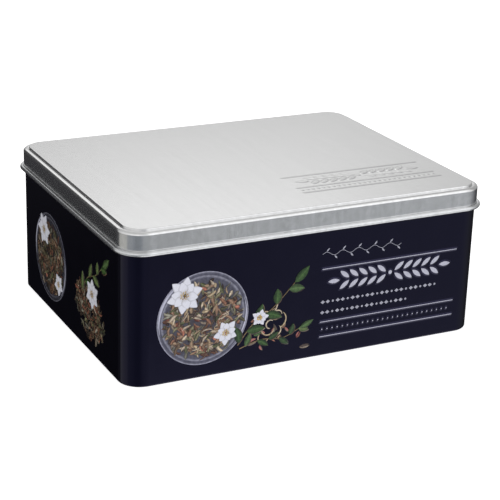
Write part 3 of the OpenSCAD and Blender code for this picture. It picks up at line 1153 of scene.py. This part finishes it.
def print_tendril(bm):
    """A waving line with a small leaf on each crest and in each trough."""
    count = 4 * QUARTER_WAVE * WAVES
    line = [(TENDRIL_LEN * k / count, TENDRIL_Z + TENDRIL_SWING * sin(2 * pi * WAVES * k / count))
            for k in range(count + 1)]
    for k in range(0, count, QUARTER_WAVE):
        piece = line[k:k + QUARTER_WAVE + 1]
        upper = [(px, py + TENDRIL_W / 2) for px, py in piece]
        lower = [(px, py - TENDRIL_W / 2) for px, py in reversed(piece)]
        plate(bm, upper + lower)
    for k in range(2 * WAVES):
        side = 1 if k % 2 == 0 else -1
        px, py = line[(2 * k + 1) * QUARTER_WAVE]
        plate(bm, leaf_outline(px, py + side * BRACT_START, side * BRACT_ANGLE, BRACT_LEN, BRACT_W))


def print_trim_row(bm, length, line):
    """A fine row of lozenges with a dot after every second one."""
    high = TRIM_REACH * LOZENGE_H
    for i in range(int(length / TRIM_PITCH)):
        x = (i + 0.5) * TRIM_PITCH
        if i % 3 == 2:
            plate(bm, dot_outline(x, line, TRIM_REACH * TRIM_DOT))
        else:
            plate(bm, [(x - TRIM_REACH, line), (x, line - high), (x + TRIM_REACH, line),
                       (x, line + high)])


def print_front_band():
    """Flat ornaments beside the raised ones: two fine rows under the garland, a tendril over it."""
    bm = bmesh.new()
    for shorter, line in TRIM_ROWS:
        print_trim_row(bm, FRONT_BAND["length"] - shorter, line)
    print_tendril(bm)
    plates = finish_mesh("front_trim", bm, [pale_print])
    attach(plates, "tin")


print_front_band()

# ------------ insert

for name in ("long_divider", "cross_divider_left", "cross_divider_right"):
    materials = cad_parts[name].data.materials
    materials.clear()
    materials.append(bare_tin)

# ------------ floor and light

# Half the floor's width in metres, and how much it glows by itself
FLOOR_SIZE = 6
FLOOR_GLOW = 0.7
PAPER_TONES = [grey(0.88), grey(0.9)]

# Studio surroundings: tones by compass direction from the box, 0 at the back, 90 at the right,
# 180 at the front and -90 at the left, for what lies below and above the horizon
BELOW = [(-180, (0.34, 0.36, 0.38)), (-168, (0.26, 0.28, 0.31)), (-157, (0.175, 0.195, 0.22)),
         (-141, (0.175, 0.195, 0.22)), (-126, (0.23, 0.25, 0.28)), (-99, (0.29, 0.31, 0.33)),
         (-95, (0.46, 0.46, 0.44)), (-54, (0.46, 0.46, 0.44)), (-49, (0.045, 0.046, 0.05)),
         (-22, (0.045, 0.045, 0.05)), (-17, (0.02, 0.02, 0.024)), (25, (0.02, 0.02, 0.024)),
         (60, (0.03, 0.03, 0.035)), (85, (0.08, 0.08, 0.09)), (112, (0.28, 0.29, 0.31)),
         (132, (0.39, 0.41, 0.43)), (149, (0.41, 0.43, 0.45)), (159, (0.305, 0.32, 0.335)),
         (180, (0.34, 0.36, 0.38))]
ABOVE = [(-180, (0.82, 0.83, 0.85)), (-170, (0.84, 0.85, 0.87)), (-150, (1.05, 1.05, 1.06)),
         (-90, grey(0.9)), (-53, grey(0.8)), (-42, (0.045, 0.045, 0.05)), (-10, grey(0.04)),
         (4, grey(0.4)), (14, grey(0.6)), (21, grey(0.7)), (29, grey(0.76)), (38, grey(0.61)),
         (50, grey(0.42)), (100, grey(0.4)), (120, (1.38, 1.39, 1.41)), (156, (1.38, 1.39, 1.41)),
         (172, (0.84, 0.85, 0.87)), (180, (0.82, 0.83, 0.85))]
OVERHEAD = grey(0.6)
# The upward parts of a direction between which BELOW turns to ABOVE, and ABOVE to OVERHEAD
HORIZON = (-0.29, -0.1)
TOP = (0.68, 0.88)
# Soft round cards: azimuth and elevation, radius of the even part and of the whole, all in
# degrees, and tone
CARDS = [(25, 27, 5, 13, grey(1.15)),
         (25, 2, 7, 17, grey(0.35)),
         (5, 27, 4, 10.5, grey(1.2)),
         (105, 60, 10, 22, grey(1.05)),
         (-20, 62, 20, 34, grey(0.6)),
         (-40, 32, 8, 18, grey(0.62)),
         (126, 14, 11, 20, (0.85, 0.85, 0.86)),
         (-20, -28, 7, 12, (0.012, 0.012, 0.014)),
         (152, -57, 22, 34, grey(1.35)),
         (-80, -52, 13, 28, (0.72, 0.72, 0.71))]


def make_floor():
    bm = bmesh.new()
    bmesh.ops.create_grid(bm, x_segments=1, y_segments=1, size=FLOOR_SIZE)
    mesh = bpy.data.meshes.new("floor")
    bm.to_mesh(mesh)
    bm.free()
    paper = Surface("floor_paper", Roughness=0.9, Specular_IOR_Level=0.1,
                    Emission_Color=(1, 1, 1, 1), Emission_Strength=FLOOR_GLOW)
    mesh.materials.append(paper.feed(Base_Color=paper.mix(paper.noise(0.02, 2), *PAPER_TONES)))
    floor = add_object("floor", mesh)
    floor.visible_glossy = False
    floor.visible_diffuse = False


def make_world():
    world = bpy.data.worlds.new("studio")
    bpy.context.scene.world = world
    world.use_nodes = True
    tree = Tree(world.node_tree)
    direction = tree.add("TexCoord").outputs["Generated"]
    x, y, z = tree.split(direction)
    turn = tree.math("MULTIPLY_ADD", tree.math("ARCTAN2", x, y), 0.5 / pi, 0.5)
    below, above = (tree.ramp(turn, [(0.5 + azimuth / 360, tone) for azimuth, tone in stops])
                    for stops in (BELOW, ABOVE))
    sides = tree.mix(tree.smooth(z, *HORIZON), below, above)
    colour = tree.mix(tree.smooth(z, *TOP), sides, OVERHEAD)
    for azimuth, elevation, inner, outer, tone in CARDS:
        a, e = radians(azimuth), radians(elevation)
        middle = (sin(a) * cos(e), cos(a) * cos(e), sin(e))
        dot = tree.add("VectorMath", {0: direction, 1: middle}, operation="DOT_PRODUCT")
        away = tree.math("ARCCOSINE", dot.outputs["Value"])
        card = tree.smooth(away, radians(inner), radians(outer), 1.0, 0.0)
        colour = tree.mix(card, colour, tone)
    background = tree.add("Background", {"Color": colour})
    tree.add("OutputWorld", {"Surface": background.outputs[0]})


make_floor()
make_world()
bpy.context.scene.view_settings.view_transform = "Standard"
